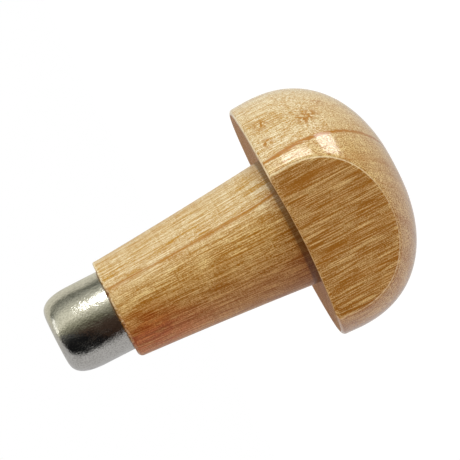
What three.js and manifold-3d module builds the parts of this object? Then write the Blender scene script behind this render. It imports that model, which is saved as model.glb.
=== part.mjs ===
// Handle of a lino cutter, in millimetres: a half-round wooden palm handle with a flat on one side of
// its cap, a tapered shank and a metal ferrule with a socket for the blade's tang.
//
// It stands on its crown. The origin is the centre of the small flat on the crown, +Z runs along the
// tool's axis towards the ferrule, and the flat on the cap's side faces -Y.

import * as THREE from 'three';
import * as BufferGeometryUtils from 'three/addons/utils/BufferGeometryUtils.js';
import Module from 'manifold-3d';

const wasm = await Module();
wasm.setup();

// Driving dimensions
const totalLength = 60;

const capRadius = 20.1;
const capWidestHeight = 16.1; // above the crown, where the dome meets the short straight rim
const domeDepth = 16.45; // of the full dome; the crown's flat takes off its tip
const domeFullness = 2.3; // exponent of the dome's curve; 2 would be an ellipse
const rimHeight = 19.3;
const rimDraft = 0.12; // the rim narrows this much before its edge
const rimEdgeRadius = 0.7;
const undersideHollow = 1.1; // depth of its cone, at the shank

const sideFlatDistance = 15.1; // from the tool's axis

const shankTopRadius = 10.85;
const shankEndRadius = 8.4;
const shankSag = 0.12; // the taper's waist, below a straight line
const shoulderHeight = 49.5;
const shoulderEdgeRadius = 0.9;

const ferruleRadius = 6.85;
const ferruleCornerLength = 5.7; // of the curve from the straight side to the end face
const ferruleCornerFullness = 2.7; // its exponent; 2 would be an ellipse
const ferruleFaceRadius = 3.6;
const ferruleWall = 0.8;
const ferruleHoleRadius = 3;
const fitGap = 0.05; // between the ferrule and the wood, as drawn

const socketRadius = 2.92;
const socketDepth = 13.5; // of the wide bore, from the ferrule's end
const pilotRadius = 1.6;
const pilotDepth = 27;
const pilotPointLength = 1;

const segments = 64;

// Points along an arc in a profile plane, from one angle to another, in degrees
function arc(centreRadius, centreHeight, radius, fromDegrees, toDegrees, steps) {
  const points = [];
  for (let i = 0; i <= steps; i += 1) {
    const angle = THREE.MathUtils.degToRad(THREE.MathUtils.lerp(fromDegrees, toDegrees, i / steps));
    const r = centreRadius + radius * Math.cos(angle);
    const height = centreHeight + radius * Math.sin(angle);
    points.push(new THREE.Vector2(r, height));
  }
  return points;
}

// Straight line from a to b, bowed inwards by sag at its middle, without its first and last points
function bowedLine(a, b, sag, steps) {
  const points = [];
  for (let i = 1; i < steps; i += 1) {
    const t = i / steps;
    const point = a.clone().lerp(b, t);
    point.x -= 4 * sag * t * (1 - t);
    points.push(point);
  }
  return points;
}

// The dome, from the edge of the crown's flat to the widest place, at even steps of the curve's angle
function domeCurve(steps) {
  const flatShare = (capWidestHeight / domeDepth) ** (domeFullness / 2);
  const startAngle = Math.acos(flatShare);
  const points = [];
  for (let i = 0; i <= steps; i += 1) {
    const angle = THREE.MathUtils.lerp(startAngle, Math.PI / 2, i / steps);
    const r = capRadius * Math.sin(angle) ** (2 / domeFullness);
    const height = capWidestHeight - domeDepth * Math.abs(Math.cos(angle)) ** (2 / domeFullness);
    points.push(new THREE.Vector2(r, height));
  }
  points[0].y = 0;
  return points;
}

// The ferrule's side and rounded end, moved in from the outer surface by inset, from the side to the face
function ferruleCurve(inset, steps) {
  const sideRadius = ferruleRadius - inset;
  const sideEnd = totalLength - inset - ferruleCornerLength;
  const points = [];
  for (let i = 0; i <= steps; i += 1) {
    const angle = (i / steps) * (Math.PI / 2);
    const across = Math.abs(Math.cos(angle)) ** (2 / ferruleCornerFullness);
    const along = Math.sin(angle) ** (2 / ferruleCornerFullness);
    const r = ferruleFaceRadius + (sideRadius - ferruleFaceRadius) * across;
    points.push(new THREE.Vector2(r, sideEnd + ferruleCornerLength * along));
  }
  return points;
}

function solidOfRevolution(profile) {
  const geometry = new THREE.LatheGeometry(profile, segments);
  // LatheGeometry turns about Y: stand its axis up along Z
  geometry.rotateX(Math.PI / 2);
  return geometry;
}

function toManifold(geometry) {
  const bare = geometry.clone();
  bare.deleteAttribute('normal');
  bare.deleteAttribute('uv');
  const merged = BufferGeometryUtils.mergeVertices(bare, 1e-4);
  const mesh = new wasm.Mesh({
    numProp: 3,
    vertProperties: new Float32Array(merged.attributes.position.array),
    triVerts: new Uint32Array(merged.index.array),
  });
  return new wasm.Manifold(mesh);
}

function toGeometry(manifold) {
  const mesh = manifold.getMesh();
  const geometry = new THREE.BufferGeometry();
  geometry.setAttribute('position', new THREE.BufferAttribute(mesh.vertProperties, 3));
  geometry.setIndex(new THREE.BufferAttribute(mesh.triVerts, 1));
  geometry.computeVertexNormals();
  return geometry;
}

// One turned piece of wood: cap, shank and the spigot under the ferrule, bored for the tang
function handleProfile() {
  const rimCentreRadius = capRadius - rimDraft - rimEdgeRadius;
  const shoulderCentreRadius = shankEndRadius - shoulderEdgeRadius;
  const shankTop = new THREE.Vector2(shankTopRadius, rimHeight - undersideHollow);
  const shankEnd = new THREE.Vector2(shankEndRadius, shoulderHeight - shoulderEdgeRadius);
  const spigotInset = ferruleWall + fitGap;
  const socketFloor = totalLength - socketDepth;
  const pilotFloor = totalLength - pilotDepth;
  return [
    new THREE.Vector2(0, 0),
    ...domeCurve(14),
    ...arc(rimCentreRadius, rimHeight - rimEdgeRadius, rimEdgeRadius, 0, 90, 4),
    shankTop,
    ...bowedLine(shankTop, shankEnd, shankSag, 4),
    ...arc(shoulderCentreRadius, shoulderHeight - shoulderEdgeRadius, shoulderEdgeRadius, 0, 90, 4),
    new THREE.Vector2(ferruleRadius - spigotInset, shoulderHeight),
    ...ferruleCurve(spigotInset, 8),
    new THREE.Vector2(socketRadius, totalLength - spigotInset),
    new THREE.Vector2(socketRadius, socketFloor),
    new THREE.Vector2(pilotRadius, socketFloor - (socketRadius - pilotRadius)),
    new THREE.Vector2(pilotRadius, pilotFloor + pilotPointLength),
    new THREE.Vector2(0, pilotFloor),
  ];
}

// Block that the saw takes off beside the cap's flat
function sideWaste() {
  const size = 3 * capRadius;
  const block = new THREE.BoxGeometry(size, size, size);
  block.translate(0, -sideFlatDistance - size / 2, 0);
  return block;
}

function handleMesh() {
  const turned = toManifold(solidOfRevolution(handleProfile()));
  const body = turned.subtract(toManifold(sideWaste()));
  const wood = new THREE.MeshStandardMaterial({ color: 0xd2a468, roughness: 0.35, metalness: 0 });
  const mesh = new THREE.Mesh(toGeometry(body), wood);
  mesh.name = 'handle';
  return mesh;
}

// Drawn metal cup, open towards the shoulder, with the tang's hole in its end
function ferruleProfile() {
  const mouth = shoulderHeight + fitGap;
  const innerRadius = ferruleRadius - ferruleWall;
  return [
    new THREE.Vector2(innerRadius, mouth),
    new THREE.Vector2(ferruleRadius, mouth),
    ...ferruleCurve(0, 10),
    new THREE.Vector2(ferruleHoleRadius, totalLength),
    new THREE.Vector2(ferruleHoleRadius, totalLength - ferruleWall),
    ...ferruleCurve(ferruleWall, 8).reverse(),
    new THREE.Vector2(innerRadius, mouth),
  ];
}

function ferruleMesh() {
  const nickel = new THREE.MeshStandardMaterial({ color: 0xa9a9a6, roughness: 0.2, metalness: 1 });
  const mesh = new THREE.Mesh(solidOfRevolution(ferruleProfile()), nickel);
  mesh.name = 'ferrule';
  return mesh;
}

const cutterHandle = new THREE.Group();
cutterHandle.add(handleMesh(), ferruleMesh());

export default cutterHandle;
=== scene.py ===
"""Looks of a half-round lino cutter handle: turned, varnished wood and a nickel-plated ferrule.

Metres, in the row frame: the handle stands on its crown at the origin, +Z runs along the tool's axis
towards the ferrule, and the flat on the cap's side faces -Y.
"""
import math

import bpy
import numpy as np
from mathutils import Matrix, Vector, noise


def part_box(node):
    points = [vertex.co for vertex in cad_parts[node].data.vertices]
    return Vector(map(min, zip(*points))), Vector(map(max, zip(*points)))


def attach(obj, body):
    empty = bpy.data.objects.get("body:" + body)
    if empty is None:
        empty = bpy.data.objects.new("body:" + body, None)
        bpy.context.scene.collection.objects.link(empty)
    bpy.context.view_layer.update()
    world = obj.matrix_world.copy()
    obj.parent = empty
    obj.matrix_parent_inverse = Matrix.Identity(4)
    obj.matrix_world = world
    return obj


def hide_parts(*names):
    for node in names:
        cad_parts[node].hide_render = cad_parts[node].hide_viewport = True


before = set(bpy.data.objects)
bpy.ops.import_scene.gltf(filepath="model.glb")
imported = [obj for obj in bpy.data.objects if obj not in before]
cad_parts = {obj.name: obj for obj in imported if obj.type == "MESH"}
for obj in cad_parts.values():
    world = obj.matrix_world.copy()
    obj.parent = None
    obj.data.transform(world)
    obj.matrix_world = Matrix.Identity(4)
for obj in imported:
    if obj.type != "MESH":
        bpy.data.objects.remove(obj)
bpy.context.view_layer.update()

MM = 0.001
TINY = 1e-9  # lengths (m) and divisors below this count as nothing

# ---------------------------------------------------------------- dimensions, from the frame
handle_lo, handle_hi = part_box("handle")
ferrule_lo, ferrule_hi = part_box("ferrule")
TOTAL_LENGTH = ferrule_hi[2]
CAP_RADIUS = handle_hi[0]
FLAT_DISTANCE = -handle_lo[1]
FERRULE_RADIUS = ferrule_hi[0]
FIT_GAP = 0.05 * MM  # between the ferrule and the wood, in the CAD part
SHOULDER_HEIGHT = ferrule_lo[2] - FIT_GAP

# ---------------------------------------------------------------- dimensions, as in the CAD part
CAP_WIDEST_HEIGHT = 16.1 * MM
DOME_DEPTH = 16.45 * MM
DOME_FULLNESS = 2.3
RIM_HEIGHT = 19.3 * MM
RIM_DRAFT = 0.12 * MM
RIM_EDGE_RADIUS = 0.7 * MM
UNDERSIDE_RADIUS = CAP_RADIUS - RIM_DRAFT - RIM_EDGE_RADIUS  # where the rim's round ends
UNDERSIDE_HOLLOW = 1.1 * MM
ROOT_HEIGHT = RIM_HEIGHT - UNDERSIDE_HOLLOW  # where the shank leaves the cap
SHANK_TOP_RADIUS = 10.85 * MM
SHANK_END_RADIUS = 8.4 * MM
SHANK_SAG = 0.12 * MM
SHOULDER_EDGE_RADIUS = 0.9 * MM
# Radius and height of the middle of that edge's round
SHOULDER_CENTRE = (SHANK_END_RADIUS - SHOULDER_EDGE_RADIUS, SHOULDER_HEIGHT - SHOULDER_EDGE_RADIUS)
FERRULE_WALL = 0.8 * MM
FERRULE_HOLE_RADIUS = 3.0 * MM
FERRULE_FACE_RADIUS = 3.6 * MM
FERRULE_CORNER_LENGTH = 5.7 * MM
FERRULE_CORNER_FULLNESS = 2.7
SOCKET_RADIUS = 2.92 * MM
SOCKET_DEPTH = 13.5 * MM
PILOT_RADIUS = 1.6 * MM
PILOT_DEPTH = 27 * MM
PILOT_POINT = 1 * MM

# ---------------------------------------------------------------- small edges that the CAD leaves sharp
ROOT_FILLET = 0.25 * MM
SOCKET_EDGE_RADIUS = 0.15 * MM
FERRULE_MOUTH_GAP = 0.01 * MM  # the ferrule all but touches the shoulder
HOLE_OUTER_EDGE_RADIUS = 0.2 * MM
HOLE_INNER_EDGE_RADIUS = 0.1 * MM
MOUTH_INNER_EDGE_RADIUS = 0.15 * MM
MOUTH_OUTER_EDGE_RADIUS = 0.08 * MM


# ================================================================ outlines
def arc(centre, radius, start, end, steps):
    """Points of an arc in the (radius, height) plane, angles in degrees."""
    angle = np.radians(np.linspace(start, end, steps + 1))
    return np.column_stack([centre[0] + radius * np.cos(angle), centre[1] + radius * np.sin(angle)])


def corner(before, point, after, radius, steps=10):
    """The corner at point, rounded with that radius."""
    before, point, after = (np.array(place, float) for place in (before, point, after))
    to_before = (before - point) / np.linalg.norm(before - point)
    to_after = (after - point) / np.linalg.norm(after - point)
    half_angle = math.acos(np.clip(to_before @ to_after, -1, 1)) / 2
    tangent = radius / math.tan(half_angle)
    middle = (to_before + to_after) / np.linalg.norm(to_before + to_after)
    centre = point + middle * radius / math.sin(half_angle)
    first = point + to_before * tangent - centre
    last = point + to_after * tangent - centre
    whole_turn = math.atan2(first[0] * last[1] - first[1] * last[0], first @ last)
    rounded = []
    for turn in np.linspace(0, whole_turn, steps + 1):
        spin = np.array([[math.cos(turn), -math.sin(turn)], [math.sin(turn), math.cos(turn)]])
        rounded.append(centre + spin @ first)
    return np.array(rounded)


def dome_outline():
    start = math.acos((CAP_WIDEST_HEIGHT / DOME_DEPTH) ** (DOME_FULLNESS / 2))
    angle = np.linspace(start, math.pi / 2, 400)
    radius = CAP_RADIUS * np.sin(angle) ** (2 / DOME_FULLNESS)
    height = CAP_WIDEST_HEIGHT - DOME_DEPTH * np.abs(np.cos(angle)) ** (2 / DOME_FULLNESS)
    return np.column_stack([radius, height])


def underside_height(radius):
    share = (UNDERSIDE_RADIUS - radius) / (UNDERSIDE_RADIUS - SHANK_TOP_RADIUS)
    return RIM_HEIGHT - UNDERSIDE_HOLLOW * share


def shank_radius(height):
    share = (height - ROOT_HEIGHT) / (SHOULDER_CENTRE[1] - ROOT_HEIGHT)
    straight = SHANK_TOP_RADIUS + (SHANK_END_RADIUS - SHANK_TOP_RADIUS) * share
    return straight - 4 * SHANK_SAG * share * (1 - share)


def ferrule_curve(inset, steps=80):
    """The ferrule's side and rounded end, moved in from its outer surface by inset."""
    angle = np.linspace(0, math.pi / 2, steps)
    side_radius = FERRULE_RADIUS - inset
    power = 2 / FERRULE_CORNER_FULLNESS
    radius = FERRULE_FACE_RADIUS + (side_radius - FERRULE_FACE_RADIUS) * np.cos(angle) ** power
    height = TOTAL_LENGTH - inset - FERRULE_CORNER_LENGTH * (1 - np.sin(angle) ** power)
    return np.column_stack([radius, height])


UNDERSIDE_START = 0.1 * MM  # of the underside's straight line, inwards from the rim's round


def handle_outline():
    """Closed outline of the wood, from the crown's centre round to the socket's floor."""
    crown = np.array([(0, 0)])
    rim = arc((UNDERSIDE_RADIUS, RIM_HEIGHT - RIM_EDGE_RADIUS), RIM_EDGE_RADIUS, 0, 90, 16)
    under_radius = np.linspace(UNDERSIDE_RADIUS - UNDERSIDE_START, SHANK_TOP_RADIUS + 2 * ROOT_FILLET, 60)
    under = np.column_stack([under_radius, underside_height(under_radius)])
    shank_height = np.linspace(ROOT_HEIGHT + 2 * ROOT_FILLET, SHOULDER_CENTRE[1], 120)
    shank = np.column_stack([shank_radius(shank_height), shank_height])
    root = corner(under[-1], (SHANK_TOP_RADIUS, ROOT_HEIGHT), shank[0], ROOT_FILLET)
    shoulder = arc(SHOULDER_CENTRE, SHOULDER_EDGE_RADIUS, 0, 90, 14)
    inset = FERRULE_WALL + FIT_GAP
    spigot = np.concatenate([[(FERRULE_RADIUS - inset, SHOULDER_HEIGHT)], ferrule_curve(inset)])
    socket_floor = TOTAL_LENGTH - SOCKET_DEPTH
    mouth = corner(spigot[-1], (SOCKET_RADIUS, TOTAL_LENGTH - inset), (SOCKET_RADIUS, socket_floor),
                   SOCKET_EDGE_RADIUS, 5)
    pilot_floor = TOTAL_LENGTH - PILOT_DEPTH
    bore = np.array([
        (SOCKET_RADIUS, socket_floor),
        (PILOT_RADIUS, socket_floor - (SOCKET_RADIUS - PILOT_RADIUS)),
        (PILOT_RADIUS, pilot_floor + PILOT_POINT),
        (0, pilot_floor),
    ])
    return np.concatenate([crown, dome_outline(), rim, under, root, shank, shoulder, spigot, mouth, bore])


def ferrule_outline():
    """Closed outline of the metal cup, from its mouth over the rounded end and back inside."""
    mouth_z = SHOULDER_HEIGHT + FERRULE_MOUTH_GAP
    outside, inside = ferrule_curve(0), ferrule_curve(FERRULE_WALL)[::-1]
    hole_top = (FERRULE_HOLE_RADIUS, TOTAL_LENGTH)
    hole_low = (FERRULE_HOLE_RADIUS, TOTAL_LENGTH - FERRULE_WALL)
    mouth_in = (FERRULE_RADIUS - FERRULE_WALL, mouth_z)
    mouth_out = (FERRULE_RADIUS, mouth_z)
    return np.concatenate([
        outside,
        corner(outside[-1], hole_top, hole_low, HOLE_OUTER_EDGE_RADIUS, 6),
        corner(hole_top, hole_low, inside[0], HOLE_INNER_EDGE_RADIUS, 3),
        inside,
        corner(inside[-1], mouth_in, mouth_out, MOUTH_INNER_EDGE_RADIUS, 4),
        corner(mouth_in, mouth_out, outside[0], MOUTH_OUTER_EDGE_RADIUS, 4),
    ])


FINE_STEP = 0.05 * MM  # between the points that an outline's length and bend are measured at


def rows_of(outline, step, bend_step, cut_step=None):
    """Outline points spaced for a mesh: closer where it bends, and where the flat's edge runs along it.

    The steps are a length along the outline, a bend in degrees and a length along the flat's edge."""
    fine = [outline[0]]
    for start, end in zip(outline[:-1], outline[1:]):
        count = max(1, int(np.linalg.norm(end - start) / FINE_STEP))
        fine += [start + (end - start) * number / count for number in range(1, count + 1)]
    fine = np.array(fine)
    delta = np.diff(fine, axis=0)
    moves = np.linalg.norm(delta, axis=1) > TINY
    fine, delta = fine[np.concatenate([[True], moves])], delta[moves]
    length = np.linalg.norm(delta, axis=1)
    heading = np.unwrap(np.arctan2(delta[:, 1], delta[:, 0]))
    bend = np.abs(np.diff(heading, prepend=heading[0]))
    measure = length / step + bend / math.radians(bend_step)
    if cut_step:
        half_chord = np.sqrt(np.maximum(fine[:, 0] ** 2 - FLAT_DISTANCE ** 2, 0))
        cut = np.hypot(np.diff(half_chord), delta[:, 1]) * (fine[1:, 0] > FLAT_DISTANCE)
        measure += cut / cut_step
    total = np.concatenate([[0], np.cumsum(measure)])
    wanted = np.linspace(0, total[-1], int(total[-1]) + 1)
    return np.column_stack([np.interp(wanted, total, fine[:, axis]) for axis in (0, 1)])


def outline_normals(rows):
    """Unit normals (radial, axial) that point out of the solid, for an outline whose solid is on its left."""
    tangent = np.gradient(rows, axis=0)
    normal = np.column_stack([tangent[:, 1], -tangent[:, 0]])
    return normal / np.maximum(np.linalg.norm(normal, axis=1), TINY)[:, None]


# ================================================================ meshes
def mesh_object(name, points, faces, materials, slots=None):
    mesh = bpy.data.meshes.new(name)
    mesh.from_pydata(points.tolist(), [], faces)
    for material in materials:
        mesh.materials.append(material)
    if slots is not None:
        mesh.polygons.foreach_set("material_index", slots)
    mesh.polygons.foreach_set("use_smooth", [True] * len(mesh.polygons))
    mesh.validate()
    mesh.update()
    piece = bpy.data.objects.new(name, mesh)
    bpy.context.collection.objects.link(piece)
    return piece


def softened_towards(points, normals, other_normal, edge_distance, radius):
    """Points near a sharp edge, moved on to the round that the sander left.

    edge_distance is measured square to the edge, along the points' own surface."""
    cosine = np.clip((normals * other_normal).sum(1), -1, 1)
    sine = np.sqrt(np.maximum(1 - cosine ** 2, TINY))
    angle = np.arccos(cosine)
    towards = (other_normal - normals * cosine[:, None]) / sine[:, None]
    tangent = radius * np.tan(angle / 2)
    share = np.clip(1 - edge_distance / np.maximum(tangent, TINY), 0, 1)
    turn = share * angle / 2
    start = points + towards * (edge_distance - tangent)[:, None]
    centre = start - normals * radius[:, None]
    moved = centre + radius[:, None] * (np.cos(turn)[:, None] * normals + np.sin(turn)[:, None] * towards)
    return np.where((share > 0)[:, None], moved, points)


SHOULDER_ROUND_LEAST = 0.4  # share of its radius that is left on the side where the edge is crisp
CRISP_SIDE = math.radians(108)  # turn of that side about the axis, from -Y towards +X
NOTCH_DEPTH = 0.45 * MM
NOTCH_SPACING = 0.55 * MM
NOTCH_RARITY = 0.08  # the noise, of -1 to 1, cuts a notch above this
NOTCH_SEED = 3.7
FERRULE_CLEARANCE = 0.3 * MM  # of the worn zone from the ferrule's side


def notches(angle):
    """Depth of the ragged edge's notches, at each angle about the axis."""
    reach = SHANK_END_RADIUS / NOTCH_SPACING
    depths = [noise.noise((reach * math.sin(turn), reach * math.cos(turn), NOTCH_SEED))
              for turn in angle.ravel()]
    return NOTCH_DEPTH * np.clip(np.array(depths).reshape(angle.shape) - NOTCH_RARITY, 0, 1)


def worn_shoulder(points, angle):
    """The shoulder's rounded edge: crisper on one side, and ragged where the end grain broke out."""
    radius = np.hypot(points[..., 0], points[..., 1])
    height = points[..., 2]
    on_edge = (height > SHOULDER_CENTRE[1]) & (radius > FERRULE_RADIUS + FERRULE_CLEARANCE)
    cosine = np.clip((radius - SHOULDER_CENTRE[0]) / SHOULDER_EDGE_RADIUS, 0, 1)
    sine = np.clip((height - SHOULDER_CENTRE[1]) / SHOULDER_EDGE_RADIUS, 0, 1)
    share = 1 - (1 - SHOULDER_ROUND_LEAST) * (0.5 + 0.5 * np.cos(angle - CRISP_SIDE))
    new_round = SHOULDER_EDGE_RADIUS * share
    new_radius = SHANK_END_RADIUS - new_round * (1 - cosine)
    new_height = SHOULDER_HEIGHT - new_round * (1 - sine) - notches(angle) * sine ** 0.5
    scale = np.where(on_edge, new_radius / np.maximum(radius, TINY), 1)
    worn = points.copy()
    worn[..., 0] *= scale
    worn[..., 1] *= scale
    worn[..., 2] = np.where(on_edge, new_height, height)
    return worn


HALF_COLUMNS = 96  # columns of points on each half of the wood
COLUMN_GRADING = 1.6  # they stand closer near the flat
ROW_STEP, ROW_BEND, FLAT_EDGE_STEP = 0.4 * MM, 7, 0.35 * MM
FLAT_NORMAL = np.array([0.0, -1.0, 0.0])
EDGE_ROUND_DOME = 1.4 * MM  # radius of the flat's edge, against the dome
EDGE_ROUND_RIM = 0.22 * MM  # and against the rim
EDGE_ROUND_BLEND = 3  # rows on each side over which one passes into the other
EDGE_ROUND_LEAN = -0.12  # less on the +X side, more on the -X side
EDGE_ROUND_REACH = 3 * MM  # from the flat, beyond which no point moves
FLAT_RINGS = (0.985, 0.965, 0.94, 0.9, 0.85, 0.78, 0.65, 0.5, 0.3, 0.12)  # shares of the flat's outline

# Material slots of the wood
DOME_SLOT, SAWN_SLOT, SHANK_SLOT, UNDERSIDE_SLOT, BARE_SLOT = range(5)


def wood_grid(rows, cut_angle):
    """Points and normals of each row, from the flat's edge at +X round the back to its edge at -X."""
    grade = (np.arange(HALF_COLUMNS + 1) / HALF_COLUMNS) ** COLUMN_GRADING
    half = cut_angle[:, None] + (math.pi - cut_angle[:, None]) * grade
    angle = np.concatenate([half, 2 * math.pi - half[:, -2::-1]], axis=1)
    sin, cos = np.sin(angle), np.cos(angle)

    def turned(outline):
        radial, axial = outline[:, :1], outline[:, 1:]
        return np.stack([radial * sin, -radial * cos, np.repeat(axial, angle.shape[1], 1)], -1)

    return worn_shoulder(turned(rows), angle), turned(outline_normals(rows))


def edge_rounds(grid, on_dome):
    """Radius of the flat's rounded edge, for each point of the grid."""
    row_round = np.where(on_dome, EDGE_ROUND_DOME, EDGE_ROUND_RIM)
    window = 2 * EDGE_ROUND_BLEND + 1
    padded = np.pad(row_round, EDGE_ROUND_BLEND, mode="edge")
    row_round = np.convolve(padded, np.ones(window) / window, mode="valid")
    lean = 1 + EDGE_ROUND_LEAN * np.clip(grid[..., 0] / CAP_RADIUS, -1, 1)
    return row_round[:, None] * np.where(on_dome[:, None], lean, 1)


def rounded_walls(points, normals, on_cap, rounds):
    """The turned surface, with its points near the flat moved on to the round of the flat's edge."""
    inside = FLAT_DISTANCE + points[:, 1]
    sine = np.sqrt(np.maximum(1 - normals[:, 1] ** 2, TINY))
    near = on_cap & (inside < EDGE_ROUND_REACH)
    walls = points.copy()
    walls[near] = softened_towards(points[near], normals[near], FLAT_NORMAL, inside[near] / sine[near],
                                   rounds[near])
    return walls


def shared_index(rows, columns, closed):
    """Index of each point of the grid, shared where a row closes or shrinks to a point."""
    index = np.arange(rows * columns).reshape(rows, columns)
    index[closed, -1] = index[closed, 0]
    index[0, :] = index[0, 0]
    index[-1, :] = index[-1, 0]
    return index


def wall_faces(index, row_slot):
    """Faces between the rows and their material slots. A face that shrinks to a line is left out."""
    faces, slots = [], []
    for row, column in np.ndindex(index.shape[0] - 1, index.shape[1] - 1):
        corners = [*index[row, column:column + 2], *index[row + 1, column:column + 2][::-1]]
        face = [int(point) for place, point in enumerate(corners) if point != corners[place - 1]]
        if len(face) > 2:
            faces.append(face)
            slots.append(int(row_slot[row]))
    return faces, slots


def flat_surface(edge, edge_normals, edge_round, loop, count):
    """The flat's points, faces and slots: rings from its outline, of indices loop, in to its centre.

    count is the index of its first new point."""
    in_plane = edge_normals - edge_normals @ FLAT_NORMAL[:, None] * FLAT_NORMAL
    in_plane /= np.linalg.norm(in_plane, axis=1)[:, None]
    centre = np.array([0, -FLAT_DISTANCE, (edge[:, 2].min() + edge[:, 2].max()) / 2])
    own_normals = np.repeat(FLAT_NORMAL[None], len(edge), 0)
    following = np.roll(np.arange(len(edge)), -1)
    points, faces, slots = [], [], []
    outer = np.array(loop)
    for share in FLAT_RINGS:
        ring = centre + (edge - centre) * share
        ring[:, 1] = -FLAT_DISTANCE
        distance = ((edge - ring) * in_plane).sum(1)
        points.append(softened_towards(ring, own_normals, edge_normals, distance, edge_round))
        inner = np.arange(count, count + len(edge))
        faces += np.column_stack([outer[following], inner[following], inner, outer]).tolist()
        slots += [DOME_SLOT if share == FLAT_RINGS[0] else SAWN_SLOT] * len(edge)
        outer = inner
        count += len(edge)
    points.append(centre[None])
    faces += np.column_stack([outer[following], np.full(len(edge), count), outer]).tolist()
    slots += [SAWN_SLOT] * len(edge)
    return np.concatenate(points), faces, slots


def without_spare_points(points, faces):
    used = sorted({point for face in faces for point in face})
    number = {point: place for place, point in enumerate(used)}
    return points[used], [[number[point] for point in face] for face in faces]


def row_slots(rows, on_cap, on_dome):
    """Material slot of each row of the wood."""
    radius, height = rows.T
    slots = np.where(on_cap, DOME_SLOT, SHANK_SLOT)
    slots[(radius < UNDERSIDE_RADIUS) & on_cap & ~on_dome] = UNDERSIDE_SLOT
    slots[np.argmax(height >= SHOULDER_HEIGHT - TINY):] = BARE_SLOT
    return slots


def cut_angles(radius, on_cap):
    """Half the angle that the flat takes off each row."""
    angle = np.arccos(np.clip(FLAT_DISTANCE / np.maximum(radius, TINY), -1, 1)) * on_cap
    angle[radius <= FLAT_DISTANCE] = 0
    return angle


def handle_piece(materials):
    rows = rows_of(handle_outline(), ROW_STEP, ROW_BEND, FLAT_EDGE_STEP)
    rows[0, 0] = rows[-1, 0] = 0
    radius, height = rows.T
    row_number = np.arange(len(rows))
    on_cap = row_number < np.argmax((radius < SHANK_TOP_RADIUS + TINY) & (height > CAP_WIDEST_HEIGHT))
    on_dome = row_number < np.argmax(height > RIM_HEIGHT - RIM_EDGE_RADIUS)
    cut_angle = cut_angles(radius, on_cap)

    grid, grid_normals = wood_grid(rows, cut_angle)
    rounds = edge_rounds(grid, on_dome).ravel()
    points, normals = grid.reshape(-1, 3), grid_normals.reshape(-1, 3)
    walls = rounded_walls(points, normals, np.repeat(on_cap, grid.shape[1]), rounds)
    index = shared_index(len(rows), grid.shape[1], cut_angle == 0)
    faces, slots = wall_faces(index, row_slots(rows, on_cap, on_dome))

    cut_rows = np.nonzero(cut_angle)[0]
    before, after = cut_rows[0] - 1, cut_rows[-1] + 1
    loop = [index[before, 0], *index[cut_rows, 0], index[after, 0], *index[cut_rows[::-1], -1]]
    flat_points, flat_faces, flat_slots = flat_surface(
        points[loop], normals[loop], rounds[loop], loop, len(walls))

    points, faces = without_spare_points(np.concatenate([walls, flat_points]), faces + flat_faces)
    return mesh_object("handle_wood", points, faces, materials, slots + flat_slots)


FERRULE_COLUMNS = 192
FERRULE_ROW_STEP, FERRULE_ROW_BEND = 0.35 * MM, 8


def ferrule_piece(materials):
    rows = rows_of(ferrule_outline(), FERRULE_ROW_STEP, FERRULE_ROW_BEND)[:-1]
    turn = np.linspace(0, 2 * math.pi, FERRULE_COLUMNS, endpoint=False)
    points = np.stack([
        rows[:, :1] * np.sin(turn),
        -rows[:, :1] * np.cos(turn),
        np.repeat(rows[:, 1:], FERRULE_COLUMNS, 1),
    ], -1).reshape(-1, 3)
    index = np.arange(len(points)).reshape(len(rows), FERRULE_COLUMNS)
    next_column = np.roll(index, -1, axis=1)
    faces = np.stack([index, next_column, np.roll(next_column, -1, axis=0), np.roll(index, -1, axis=0)], -1)
    return mesh_object("ferrule_shell", points, faces.reshape(-1, 4).tolist(), materials)


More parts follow.
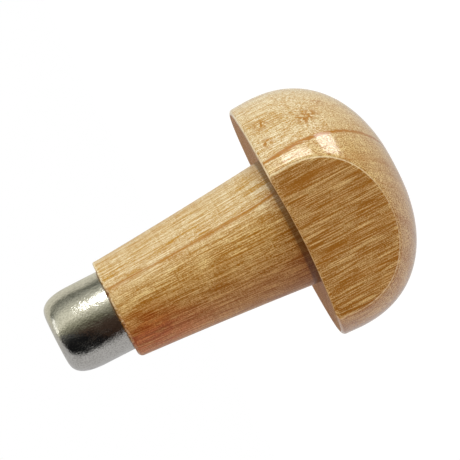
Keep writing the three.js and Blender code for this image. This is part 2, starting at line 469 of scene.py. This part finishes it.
# ================================================================ materials
class Graph:
    """Short calls that build a node tree."""

    def __init__(self, tree):
        self.tree = tree
        tree.nodes.clear()

    def node(self, kind, inputs, **settings):
        node = self.tree.nodes.new("ShaderNode" + kind)
        for name, value in settings.items():
            setattr(node, name, value)
        for key, value in inputs.items():
            if isinstance(value, bpy.types.NodeSocket):
                self.tree.links.new(value, node.inputs[key])
            else:
                node.inputs[key].default_value = value
        return node

    def math(self, operation, *values):
        return self.node("Math", dict(enumerate(values)), operation=operation).outputs[0]

    def add(self, first, *others):
        for other in others:
            first = self.math("ADD", first, other)
        return first

    def times(self, first, *others):
        for other in others:
            first = self.math("MULTIPLY", first, other)
        return first

    def dot(self, vector, other):
        return self.node("VectorMath", {0: vector, 1: other}, operation="DOT_PRODUCT").outputs["Value"]

    def stretched(self, vector, lengths):
        """The vector divided by a length for each of its axes."""
        return self.node("VectorMath", {0: vector, 1: lengths}, operation="DIVIDE").outputs[0]

    def noise(self, vector, detail=0.0, roughness=0.5):
        inputs = {"Vector": vector, "Scale": 1.0, "Detail": detail, "Roughness": roughness}
        return self.node("TexNoise", inputs).outputs[0]

    def cells(self, position, lengths, detail=0.0, roughness=0.5):
        """Noise of 0 to 1 in cells of about that length along each axis."""
        return self.noise(self.stretched(position, lengths), detail, roughness)

    def clamped(self, value):
        return self.math("MAXIMUM", self.math("MINIMUM", value, 1.0), 0.0)

    def both_ways(self, value, depth):
        """A value of 0 to 1, made into a change of half the depth either way."""
        return self.times(self.add(value, -0.5), depth)

    def ramp(self, value, low, high, to_low=0.0, to_high=1.0):
        """Smooth change from to_low at low to to_high at high."""
        inputs = {0: value, 1: low, 2: high, 3: to_low, 4: to_high}
        return self.node("MapRange", inputs, interpolation_type="SMOOTHSTEP").outputs[0]

    def ramp_line(self, value, low, high):
        """0 at low, 1 at high and even between."""
        return self.node("MapRange", {0: value, 1: low, 2: high}).outputs[0]

    def colour_ramp(self, value, stops):
        """Colour by the stops' places, of 0 to 1."""
        node = self.node("ValToRGB", {0: value})
        elements = node.color_ramp.elements
        for _ in stops[2:]:
            elements.new(0.5)
        for element, (place, colour) in zip(elements, stops):
            element.position = place
            element.color = (*colour, 1)
        return node.outputs[0]

    def band(self, value, middle, half_width):
        """1 at the middle, falling smoothly to 0 at half_width on both sides."""
        distance = self.math("ABSOLUTE", self.math("SUBTRACT", value, middle))
        return self.ramp(distance, 0.0, half_width, 1.0, 0.0)

    def ball(self, position, centre, radius):
        """1 at the centre, falling smoothly to 0 at radius."""
        away = self.node("VectorMath", {0: position, 1: centre}, operation="DISTANCE").outputs["Value"]
        return self.ramp(away, 0.0, radius, 1.0, 0.0)

    def mix(self, share, first, second, blend="MIX"):
        inputs = {0: share, 6: first, 7: second}
        return self.node("Mix", inputs, data_type="RGBA", blend_type=blend).outputs[2]

    def bump(self, height, depth, normal=None):
        """Normal of a surface whose height of 0 to 1 stands for that depth."""
        inputs = {"Height": height, "Strength": 1.0, "Distance": depth}
        if normal is not None:
            inputs["Normal"] = normal
        return self.node("Bump", inputs).outputs[0]


def new_material(name):
    material = bpy.data.materials.new(name)
    material.use_nodes = True
    return material, Graph(material.node_tree)


def finish_material(graph, inputs):
    shader = graph.node("BsdfPrincipled", inputs)
    graph.node("OutputMaterial", {"Surface": shader.outputs[0]})


def millimetres(graph):
    """The row frame's coordinates, in millimetres."""
    coordinates = graph.node("TexCoord", {}).outputs["Object"]
    return graph.node("VectorMath", {0: coordinates, 3: 1 / MM}, operation="SCALE").outputs[0]


def height_of(graph, position):
    return graph.dot(position, (0, 0, 1))


# In the materials, places and the noises' cells are in millimetres, and reliefs in metres. Noises run
# from 0 to 1. A ramp of one is: where it starts and ends, and its values there.

# ---------------------------------------------------------------- colours of the wood
PALE_WOOD = (0.8, 0.6, 0.29, 1)
DEEP_WOOD = (0.33, 0.125, 0.008, 1)
PALE_SAPWOOD = (0.8, 0.68, 0.51, 1)
DEEP_SAPWOOD = (0.42, 0.19, 0.01, 1)
RING_WOOD = (0.37, 0.13, 0.002, 1)
FLECK_WOOD = (0.38, 0.15, 0.015, 1)
# Painted shade for the corner between the cap and the shank
ROOT_SHADE_COLOUR = (0.13, 0.06, 0.02, 1)
# Pale colour of rubbed varnish and how far it takes over; on the rim and the flat's edge it also paints a
# highlight
WORN_AND_HIGHLIT_WOOD = (0.9, 0.76, 0.52, 1)
WEAR_AND_HIGHLIGHT_DEPTH = 0.8  # how far the worn colour takes over

# Tints, by which the wood's colour is multiplied
PINK_TINT = (1.05, 0.66, 0.6, 1)
ORANGE_TINT = (0.82, 0.56, 0.36, 1)
POOLED_VARNISH = (0.8, 0.66, 0.42, 1)

# ---------------------------------------------------------------- growth rings
# They are nearly flat layers in so small a piece, and lie square to this direction.
RING_DIRECTION = (-0.657, -0.754, 0.0)
# The rings bend between these heights. Their offset and their depth of colour differ above and below.
RING_BEND_START, RING_BEND_END = 9.0, 26.0
RING_OFFSET_CAP, RING_OFFSET_SHANK = 0.3, -0.9
RING_DEPTH_CAP, RING_DEPTH_SHANK = 0.75, 0.32
WIDE_WAVE_CELLS, WIDE_WAVE_DEPTH = (9, 9, 22), 0.7
SMALL_WAVE_CELLS, SMALL_WAVE_DEPTH = (1.5, 1.5, 10), 0.25
WAVE_MEAN = 0.48  # of the two waves together
# A ring's late wood: its place along that direction, its half width and its depth of colour
RINGS = (
    (-14.5, 0.5, 0.3),
    (-6.3, 0.35, 0.35),
    (0.0, 0.5, 2.4),
    (4.9, 0.9, 0.75),
    (6.8, 0.45, 0.4),
    (8.7, 0.5, 0.45),
    (12.8, 0.9, 0.45),
    (16.8, 0.7, 0.5),
    (18.6, 0.6, 0.6),
    (20.4, 0.7, 0.5),
)
RING_BREAKS = (0.3, 0.6, 0.35, 1.0)  # ramp of the streaks
LAYERS_PER_MM = 1.4  # of the fainter layers between the rings
LAYERS_DRIFT = 0.04  # how fast they change along the axis
SAPWOOD_END, HEARTWOOD_START = -2.5, 4.5  # along the ring direction
SAPWOOD_FADE_START, SAPWOOD_FADE_END, SAPWOOD_LEAST = 3.0, 11.0, 0.4  # towards the crown

# ---------------------------------------------------------------- grain
GRAIN_SPREAD = 1.22  # the shank's fibres run together this much towards its thin end
# Cells of the grain, along X, Y and Z
VESSELS = (0.15, 0.15, 3.5)
FIBRES = (0.14, 0.14, 6)
SPECKS = (0.13, 0.13, 0.2)
FIGURE = (0.45, 0.45, 0.6)
STREAKS = (0.4, 0.4, 12)
CLOUDS = (4, 4, 14)
PORES = (0.54, 0.66, 0.0, 1.0)  # ramp of the vessels
FIBRES_DEPTH = 1.7
SPECKS_DEPTH = 2.1
CLOUDS_DEPTH = 0.4
LAYERS_DEPTH = 0.45
# How deep the pores, the streaks and the figure show on each surface
VARNISHED_GRAIN = (0.22, 0.55, 0.1)
SAWN_GRAIN = (0.6, 1.3, 0.2)
BARE_GRAIN = (0.45, 1.0, 0.5)
# Relief of the grain on each surface
VARNISHED_RELIEF = 0.006 * MM
SAWN_RELIEF = 0.015 * MM
BARE_RELIEF = 0.02 * MM

# ---------------------------------------------------------------- stains, wear and varnish
# Zones of redder wood low on the shank: centre and radius, strength and tint
RED_ZONES = (
    ((-5.6, -6.6, 46.0), 7.5, 1.1, PINK_TINT),
    ((-9.5, 0.5, 22.0), 6.5, 0.6, PINK_TINT),
    ((-1.7, -8.3, 46.5), 4.8, 1.4, ORANGE_TINT),
)
RED_ZONE_STRETCH = 2.2  # they are this many times longer along the axis than across it
RED_ZONE_CELLS, RED_ZONE_RAMP = (0.8, 0.8, 2.5), (0.3, 0.65, 0.35, 1.0)
# Brown flecks on the cap: centre and radius
FLECKS = (
    ((17.0, -8.9, 9.9), 1.9),
    ((16.9, -7.9, 8.6), 1.7),
    ((16.9, -4.3, 6.7), 1.4),
    ((18.7, -7.4, 16.4), 1.7),
    ((16.8, -11.0, 17.0), 1.4),
    ((-12.0, 9.5, 7.2), 2.0),
)
FLECK_CELLS, FLECK_RAMP = (0.75, 0.75, 0.75), (0.42, 0.53, 0.0, 1.0)
FLECK_FULLNESS = 0.6  # exponent of its fading; less makes more of it dark

# Worn edges, and on the rim and the flat's edge a painted highlight as well: how far inside the edge the pale
# band's middle lies, and its half width
RIM_WEAR_AND_HIGHLIGHT = (0.12, 0.22)
FLAT_WEAR_AND_HIGHLIGHT = (0.07, 0.09)
SHOULDER_WEAR = (0.1, 0.45)
WEAR_AND_HIGHLIGHT_CELLS, WEAR_AND_HIGHLIGHT_RAMP = (0.5, 0.5, 0.5), (0.3, 0.55, 0.25, 1.0)
TORN_CELLS, TORN_RAMP = (0.4, 0.4, 0.6), (0.42, 0.56, 0.0, 1.0)
# The painted shade at the shank's root fades out between these heights
ROOT_SHADE_START, ROOT_SHADE_END = 0.05, 0.5  # above the rim

TURNING_MARKS_PER_MM = 2.6
TURNING_MARKS_DRIFT = 0.06  # how fast they change round the axis
TURNING_RELIEF = 0.004 * MM
POOLING = (0.45, 0.65, 0.0, 0.4)  # ramp of the turning marks, where the varnish is thicker
SWELL_CELLS, SWELL_RELIEF = (2.6, 2.6, 4), 0.04 * MM
RIPPLE_CELLS, RIPPLE_RELIEF = (0.7, 0.7, 0.9), 0.012 * MM


def ring_distance(graph, position):
    """Distance along the ring direction, a little wavy."""
    height = height_of(graph, position)
    bend = graph.ramp(height, RING_BEND_START, RING_BEND_END, RING_OFFSET_CAP, RING_OFFSET_SHANK)
    straight = graph.add(graph.dot(position, RING_DIRECTION), bend)
    wide_wave = graph.times(graph.cells(position, WIDE_WAVE_CELLS, 1), WIDE_WAVE_DEPTH)
    small_wave = graph.times(graph.cells(position, SMALL_WAVE_CELLS, 1), SMALL_WAVE_DEPTH)
    return graph.add(straight, graph.add(wide_wave, small_wave, -WAVE_MEAN))


def faint_layers(graph, position, distance):
    place = graph.node("CombineXYZ", {
        0: graph.times(distance, LAYERS_PER_MM),
        1: graph.times(height_of(graph, position), LAYERS_DRIFT),
    }).outputs[0]
    return graph.noise(place, 2, 0.6)


def ringed(graph, position, distance, streaks, colour):
    """The colour with the late wood of the rings, which the streaks break up."""
    height = height_of(graph, position)
    strength = graph.times(
        graph.ramp(height, RING_BEND_START, RING_BEND_END, RING_DEPTH_CAP, RING_DEPTH_SHANK),
        graph.ramp(streaks, *RING_BREAKS))
    for middle, half_width, depth in RINGS:
        ring = graph.times(graph.band(distance, middle, half_width), depth, strength)
        colour = graph.mix(ring, colour, RING_WOOD)
    return colour


def along_the_taper(graph, position):
    """The position, spread towards the shank's thin end, so that the grain nearly follows its side."""
    spread = graph.node("MapRange", {
        0: height_of(graph, position),
        1: ROOT_HEIGHT / MM,
        2: SHOULDER_HEIGHT / MM,
        3: 1.0,
        4: GRAIN_SPREAD,
    }).outputs[0]
    scale = graph.node("CombineXYZ", {0: spread, 1: spread, 2: 1.0}).outputs[0]
    return graph.node("VectorMath", {0: position, 1: scale}, operation="MULTIPLY").outputs[0]


def wood(graph, position, grain, darkness):
    """Base colour of the wood, and the height of its grain for the bump."""
    pores_depth, streaks_depth, figure_depth = grain
    place = along_the_taper(graph, position)
    pores = graph.ramp(graph.cells(place, VESSELS), *PORES)
    fibres = graph.cells(place, FIBRES)
    specks = graph.cells(place, SPECKS, 1)
    figure = graph.cells(place, FIGURE, 1)
    streaks = graph.cells(place, STREAKS, 2, 0.6)
    clouds = graph.cells(position, CLOUDS, 2)
    distance = ring_distance(graph, position)
    layers = faint_layers(graph, position, distance)
    tone = graph.clamped(graph.add(
        graph.both_ways(fibres, FIBRES_DEPTH),
        graph.both_ways(specks, SPECKS_DEPTH),
        graph.both_ways(figure, figure_depth),
        graph.both_ways(streaks, streaks_depth),
        graph.both_ways(clouds, CLOUDS_DEPTH),
        graph.both_ways(layers, LAYERS_DEPTH),
        graph.times(pores, pores_depth),
        darkness))
    sapwood = graph.mix(tone, PALE_SAPWOOD, DEEP_SAPWOOD)
    sapwood_share = graph.times(
        graph.ramp(distance, SAPWOOD_END, HEARTWOOD_START, 1.0, 0.0),
        graph.ramp(height_of(graph, position), SAPWOOD_FADE_START, SAPWOOD_FADE_END, SAPWOOD_LEAST, 1.0))
    colour = graph.mix(sapwood_share, graph.mix(tone, PALE_WOOD, DEEP_WOOD), sapwood)
    colour = ringed(graph, position, distance, streaks, colour)
    grain_height = graph.math("SUBTRACT", graph.times(graph.add(fibres, specks), 0.5), pores)
    return colour, grain_height


def stained(graph, position, colour):
    """The wood's local colour: redder zones on the shank, brown flecks on the cap."""
    spread = graph.ramp(graph.cells(position, RED_ZONE_CELLS, 2), *RED_ZONE_RAMP)
    squeezed = graph.stretched(position, (1, 1, RED_ZONE_STRETCH))
    for (x, y, z), radius, strength, tint in RED_ZONES:
        zone = graph.ball(squeezed, (x, y, z / RED_ZONE_STRETCH), radius)
        colour = graph.mix(graph.times(zone, spread, strength), colour, tint, "MULTIPLY")
    blots = graph.ramp(graph.cells(position, FLECK_CELLS, 1), *FLECK_RAMP)
    for centre, radius in FLECKS:
        zone = graph.math("POWER", graph.ball(position, centre, radius), FLECK_FULLNESS)
        colour = graph.mix(graph.times(zone, blots), colour, FLECK_WOOD)
    return colour


def turning_marks(graph, position):
    """Fine rings left by the lathe, about 0.4 mm apart along the outline."""
    x, y, z = graph.node("SeparateXYZ", {0: position}).outputs
    radius = graph.math("SQRT", graph.add(graph.times(x, x), graph.times(y, y)))
    place = graph.node("CombineXYZ", {
        0: graph.times(graph.add(radius, z), TURNING_MARKS_PER_MM),
        1: graph.times(x, TURNING_MARKS_DRIFT),
        2: graph.times(y, TURNING_MARKS_DRIFT),
    }).outputs[0]
    return graph.noise(place, 1)


def wear_and_highlight_along(graph, distance, edge, wear_and_highlight):
    """1 where an edge's pale band is strongest: wear, and on the rim and the flat's edge a painted highlight
    too.
    """
    inset, half_width = wear_and_highlight
    return graph.band(distance, edge / MM - inset, half_width)


def worn_and_highlit_edges(graph, position):
    """Where the cap's rim and the flat's edge are painted pale: rubbed varnish, and a painted highlight along
    both edges.
    """
    rim = wear_and_highlight_along(graph, height_of(graph, position), RIM_HEIGHT, RIM_WEAR_AND_HIGHLIGHT)
    flat_edge = wear_and_highlight_along(graph, graph.dot(position, FLAT_NORMAL), FLAT_DISTANCE, FLAT_WEAR_AND_HIGHLIGHT)
    patchy = graph.ramp(graph.cells(position, WEAR_AND_HIGHLIGHT_CELLS, 2), *WEAR_AND_HIGHLIGHT_RAMP)
    return graph.times(graph.math("MAXIMUM", rim, flat_edge), patchy)


def chipped_shoulder(graph, position):
    """Pale torn fibres along the edge next to the ferrule."""
    edge = wear_and_highlight_along(graph, height_of(graph, position), SHOULDER_HEIGHT, SHOULDER_WEAR)
    torn = graph.ramp(graph.cells(position, TORN_CELLS, 1), *TORN_RAMP)
    return graph.times(edge, torn)


def shaded_root(graph, position):
    """Painted shade in the corner between the cap and the shank: dark at the rim, fading out along the shank.
    """
    rim = RIM_HEIGHT / MM
    return graph.ramp(height_of(graph, position), rim + ROOT_SHADE_START, rim + ROOT_SHADE_END, 1.0, 0.0)


def varnished_wood(name, darkness, coat, wear_and_highlight=None, root_shade=0.0):
    """Wood under varnish. Its pale marks stand for rubbed wear and, on the rim and the flat's edge, a painted
    highlight; the last argument says how dark the painted shade at the shank's root is.
    """
    material, graph = new_material(name)
    position = millimetres(graph)
    colour, grain = wood(graph, position, VARNISHED_GRAIN, darkness)
    colour = stained(graph, position, colour)
    marks = turning_marks(graph, position)
    colour = graph.mix(graph.ramp(marks, *POOLING), colour, POOLED_VARNISH, "MULTIPLY")
    # Painted shade in the corner at the shank's root
    if root_shade:
        colour = graph.mix(graph.times(shaded_root(graph, position), root_shade), colour, ROOT_SHADE_COLOUR)
    if wear_and_highlight:
        # Pale marks: rubbed wear, and on the rim and the flat's edge a painted highlight
        colour = graph.mix(graph.times(wear_and_highlight(graph, position), WEAR_AND_HIGHLIGHT_DEPTH), colour, WORN_AND_HIGHLIT_WOOD)
    swell = graph.bump(graph.cells(position, SWELL_CELLS, 1), SWELL_RELIEF)
    ripple = graph.bump(graph.cells(position, RIPPLE_CELLS, 1), RIPPLE_RELIEF, swell)
    surface = graph.bump(grain, VARNISHED_RELIEF, graph.bump(marks, TURNING_RELIEF, ripple))
    finish_material(graph, {
        "Base Color": colour,
        "Roughness": 0.5,
        "Specular IOR Level": 0.15,
        "Coat Weight": coat,
        "Coat Roughness": 0.11,
        "Coat IOR": 1.5,
        "Normal": surface,
        "Coat Normal": surface,
    })
    return material


def sawn_wood():
    material, graph = new_material("sawn_wood")
    colour, grain = wood(graph, millimetres(graph), SAWN_GRAIN, darkness=0.65)
    finish_material(graph, {
        "Base Color": colour,
        "Roughness": 0.5,
        "Specular IOR Level": 0.2,
        "Coat Weight": 0.3,
        "Coat Roughness": 0.3,
        "Coat IOR": 1.5,
        "Normal": graph.bump(grain, SAWN_RELIEF),
    })
    return material


def bare_wood():
    material, graph = new_material("bare_wood")
    colour, grain = wood(graph, millimetres(graph), BARE_GRAIN, darkness=0.5)
    finish_material(graph, {
        "Base Color": colour,
        "Roughness": 0.8,
        "Specular IOR Level": 0.2,
        "Normal": graph.bump(grain, BARE_RELIEF),
    })
    return material


# ---------------------------------------------------------------- metal
BRIGHT_NICKEL = (0.66, 0.65, 0.6, 1)
SMUDGED_NICKEL = (0.56, 0.55, 0.5, 1)
SCUFFED_NICKEL = (0.4, 0.39, 0.35, 1)
SCUFF_CELLS, SCUFF_RELIEF = (0.3, 0.3, 0.3), 0.036 * MM
SCUFF_RAMP = (0.4, 0.7, 0.0, 0.6)
DENT_CELLS, DENT_RELIEF = (1.6, 1.6, 1.6), 0.045 * MM
SMUDGE_CELLS = (1.2, 1.2, 2.2)
SMUDGE_ROUGHNESS = (0.35, 0.65, 0.1, 0.26)  # ramp of the smudges


def nickel_plate():
    material, graph = new_material("nickel_plate")
    position = millimetres(graph)
    scuffs = graph.cells(position, SCUFF_CELLS, 2, 0.6)
    dents = graph.cells(position, DENT_CELLS, 1)
    smudges = graph.cells(position, SMUDGE_CELLS, 2)
    colour = graph.mix(smudges, BRIGHT_NICKEL, SMUDGED_NICKEL)
    colour = graph.mix(graph.ramp(scuffs, *SCUFF_RAMP), colour, SCUFFED_NICKEL)
    finish_material(graph, {
        "Base Color": colour,
        "Metallic": 1.0,
        "Roughness": graph.ramp(smudges, *SMUDGE_ROUGHNESS),
        "Normal": graph.bump(scuffs, SCUFF_RELIEF, graph.bump(dents, DENT_RELIEF)),
    })
    return material


# ================================================================ the two pieces
handle = handle_piece([
    varnished_wood("varnished_dome", darkness=0.52, coat=0.95, wear_and_highlight=worn_and_highlit_edges),
    sawn_wood(),
    varnished_wood("varnished_shank", darkness=0.61, coat=0.4, wear_and_highlight=chipped_shoulder, root_shade=0.7),
    varnished_wood("thinly_varnished_underside", darkness=0.6, coat=0.03),
    bare_wood(),
])
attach(handle, "root")
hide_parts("handle")

ferrule = ferrule_piece([nickel_plate()])
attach(ferrule, "root")
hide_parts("ferrule")

# ================================================================ camera
VIEW_AZIMUTH = 18.5  # of the camera, from square on to the flat
VIEW_ELEVATION = 1.8
VIEW_ROLL = 27.1  # of the tool's axis above the view's horizontal
VIEW_DISTANCE = 500 * MM
VIEW_WIDTH = 73.0 * MM  # at the tool's axis
TARGET_HEIGHT = 27.6 * MM  # of the point in the middle of the view
TARGET_OFFSET = -3.06 * MM  # of that point from the axis, across the view

azimuth, elevation, roll = np.radians((VIEW_AZIMUTH, VIEW_ELEVATION, VIEW_ROLL)).tolist()
# The view's own directions: towards the camera, along the tool to its crown, and across the tool
back = Vector((
    math.sin(azimuth) * math.cos(elevation),
    -math.cos(azimuth) * math.cos(elevation),
    math.sin(elevation),
))
crownward = (Vector((0, 0, -1)) + back * back.z).normalized()
across = crownward.cross(back)


def placed(x_axis, y_axis, z_axis, position):
    """World matrix of an object with those axes at that position."""
    return Matrix.Translation(position) @ Matrix((x_axis, y_axis, z_axis)).transposed().to_4x4()


def view_camera():
    data = bpy.data.cameras.new("camera")
    data.sensor_width = 36
    data.lens = data.sensor_width * VIEW_DISTANCE / VIEW_WIDTH
    data.clip_start = 0.02
    data.clip_end = 20
    camera = bpy.data.objects.new("camera", data)
    bpy.context.collection.objects.link(camera)
    right = crownward * math.cos(roll) + across * math.sin(roll)
    up = crownward * math.sin(roll) - across * math.cos(roll)
    target = Vector((0, 0, TARGET_HEIGHT)) + across * TARGET_OFFSET
    camera.matrix_world = placed(right, up, back, target + back * VIEW_DISTANCE)
    return camera


bpy.context.scene.camera = view_camera()


# ================================================================ light
def in_view(towards_camera, across_tool, towards_crown):
    """Direction from its shares towards the camera, across the tool (to its lower side) and along it."""
    return (back * towards_camera + across * across_tool + crownward * towards_crown).normalized()


WHITE = (1.0, 1.0, 1.0, 1)
BLACK = (0.0, 0.0, 0.0, 1)

# ---------------------------------------------------------------- world
# The table lies away from the sky. Its soft edge is between these cosines to the sky's direction.
SKY_DIRECTION = in_view(0.927, -0.375, 0.0)
TABLE_START, TABLE_END = 0.14, -0.11
# It is warm on the view's upper side and cooler on its lower one, between these shares across.
WARM_TABLE = (0.84, 0.81, 0.68, 1)
COOL_TABLE = (0.6, 0.59, 0.61, 1)
WARM_SIDE, COOL_SIDE = -0.5, 0.3
# The room's reflection round the tool's axis: degrees from the camera, and a share of ROOM_BRIGHTNESS
ROOM_BRIGHTNESS = 1.6
ROOM_GLOW = (
    (-110, (0.08, 0.08, 0.06)),
    (-98, (0.12, 0.12, 0.1)),
    (-86, (0.27, 0.27, 0.23)),
    (-70, (0.45, 0.44, 0.37)),
    (-58, (0.56, 0.55, 0.46)),
    (-38, (0.68, 0.66, 0.55)),
    (-25, (0.37, 0.36, 0.28)),
    (-13, (0.17, 0.165, 0.12)),
    (-2, (0.075, 0.07, 0.05)),
    (8, (0.048, 0.032, 0.024)),
    (48, (0.03, 0.017, 0.012)),
)
# Diffuse light: a warm fill, and the light that the table throws back, between these cosines
FILL_COLOUR = (0.46, 0.25, 0.1, 1)
TABLE_BOUNCE = (1.1, 1.12, 1.12, 1)
TABLE_BOUNCE_DIRECTION = in_view(-0.1, 0.7, 0.7)
BOUNCE_START, BOUNCE_END = 0.3, 0.95


def room_glow(graph, direction):
    around = graph.math("ARCTAN2", graph.dot(direction, across), graph.dot(direction, back))
    start, end = ROOM_GLOW[0][0], ROOM_GLOW[-1][0]
    place = graph.ramp_line(around, math.radians(start), math.radians(end))
    stops = [((angle - start) / (end - start), colour) for angle, colour in ROOM_GLOW]
    return graph.mix(1.0, graph.colour_ramp(place, stops), [ROOM_BRIGHTNESS] * 3 + [1], "MULTIPLY")


def studio_world():
    """White for the camera, a dim room over a pale table for reflections, and a warm diffuse fill."""
    world = bpy.data.worlds.new("studio")
    bpy.context.scene.world = world
    world.use_nodes = True
    world.cycles.sampling_method = "NONE"
    graph = Graph(world.node_tree)
    direction = graph.node("TexCoord", {}).outputs["Generated"]
    table_share = graph.ramp(graph.dot(direction, SKY_DIRECTION), TABLE_START, TABLE_END)
    table = graph.mix(graph.ramp(graph.dot(direction, across), WARM_SIDE, COOL_SIDE), WARM_TABLE, COOL_TABLE)
    reflected = graph.mix(table_share, room_glow(graph, direction), table)
    bounce = graph.ramp(graph.dot(direction, TABLE_BOUNCE_DIRECTION), BOUNCE_START, BOUNCE_END)
    fill = graph.mix(bounce, FILL_COLOUR, TABLE_BOUNCE)
    path = graph.node("LightPath", {}).outputs
    seen = graph.mix(path["Is Glossy Ray"], fill, reflected)
    seen = graph.mix(path["Is Camera Ray"], seen, WHITE)
    background = graph.node("Background", {"Color": seen, "Strength": 1.0})
    graph.node("OutputWorld", {"Surface": background.outputs[0]})


# ---------------------------------------------------------------- lights
LIGHT_DISTANCE = 600 * MM
LIGHT_AIM = Vector((0, 0, 0.4 * TOTAL_LENGTH))
ALONG_TOOL = in_view(0.0, 0.0, 1.0)
ACROSS_TOOL = in_view(0.0, 1.0, 0.0)


def area_light(name, direction, side, sides, radiance, colour=WHITE[:3]):
    """Softbox that faces the middle of the tool. The first of its sides runs along the direction side."""
    data = bpy.data.lights.new(name, "AREA")
    data.shape = "RECTANGLE"
    data.size, data.size_y = sides
    data.energy = radiance * math.pi * sides[0] * sides[1]
    data.color = colour
    light = bpy.data.objects.new(name, data)
    bpy.context.collection.objects.link(light)
    x_axis = (side - direction * side.dot(direction)).normalized()
    light.matrix_world = placed(x_axis, direction.cross(x_axis), direction,
                                LIGHT_AIM + direction * LIGHT_DISTANCE)
    return light


def window_light(name, direction, side, sides, radiance):
    """Softbox that only shows as a reflection."""
    light = area_light(name, direction, side, sides, radiance)
    light.visible_diffuse = False


studio_world()
key = area_light("key", in_view(0.58, -0.81, 0.05), ALONG_TOOL, (0.4, 0.4), 9.4, (0.69, 0.95, 1.0))
key.visible_glossy = False
window_light("window", in_view(0.61, -0.75, 0.26), ALONG_TOOL, (0.28, 0.12), 9.5)
window_light("crown_window", in_view(0.25, -0.61, 0.74), in_view(-0.69, -0.65, -0.28), (0.2, 0.18), 11.0)
window_light("tip_window", in_view(0.08, -0.4, -0.91), ACROSS_TOOL, (0.26, 0.16), 1.6)


# ================================================================ card and floor
def glowing_sheet(name, corners, albedo, glow):
    """Flat matt sheet that glows. glow is a colour, or a function that makes one in its graph."""
    mesh = bpy.data.meshes.new(name)
    mesh.from_pydata(corners, [], [range(len(corners))])
    material, graph = new_material(name)
    finish_material(graph, {
        "Base Color": albedo,
        "Roughness": 1.0,
        "Specular IOR Level": 0.0,
        "Emission Color": glow(graph) if callable(glow) else glow,
        "Emission Strength": 1.0,
    })
    mesh.materials.append(material)
    sheet = bpy.data.objects.new(name, mesh)
    bpy.context.collection.objects.link(sheet)
    sheet.visible_diffuse = sheet.visible_shadow = False
    return sheet


CARD_DISTANCE = 25  # mm from the tool's axis, towards the camera
# Its outline (mm): across the tool, and along it towards the crown, from the origin
CARD_OUTLINE = ((-7, -165), (-3.5, -90), (0, -67.7), (2.2, -61.5), (7, -55.5), (9.6, -53.8), (22, -50.6),
                (35, -48.2), (62, -46.5), (62, -165))
CARD_PALE = (0.2, 0.2, 0.2, 1)
CARD_DARK = (0.012, 0.012, 0.013, 1)
CARD_PALE_PLACE, CARD_DARK_PLACE = -6, 9  # mm across the tool


def card_glow(graph):
    place = graph.dot(millimetres(graph), across)
    return graph.mix(graph.ramp(place, CARD_PALE_PLACE, CARD_DARK_PLACE), CARD_PALE, CARD_DARK)


def reflected_card():
    """Dark card in front of the ferrule, seen only in its reflection, with a slanting edge."""
    corners = [(across * side + crownward * along + back * CARD_DISTANCE) * MM
               for side, along in CARD_OUTLINE]
    card = glowing_sheet("card", corners, BLACK, card_glow)
    card.visible_camera = False
    return card


FLOOR_HALF = 3000 * MM  # half its width
FLOOR_ALBEDO = (0.1, 0.1, 0.1, 1)


def studio_floor():
    """White floor whose own glow hides all but a trace of a shadow."""
    corners = [(x * FLOOR_HALF, y * FLOOR_HALF, 0) for x, y in ((-1, -1), (1, -1), (1, 1), (-1, 1))]
    floor = glowing_sheet("floor", corners, FLOOR_ALBEDO, WHITE)
    floor.visible_glossy = False
    return floor


reflected_card()
studio_floor()

bpy.context.scene.view_settings.view_transform = "Standard"
bpy.context.scene.view_settings.look = "None"
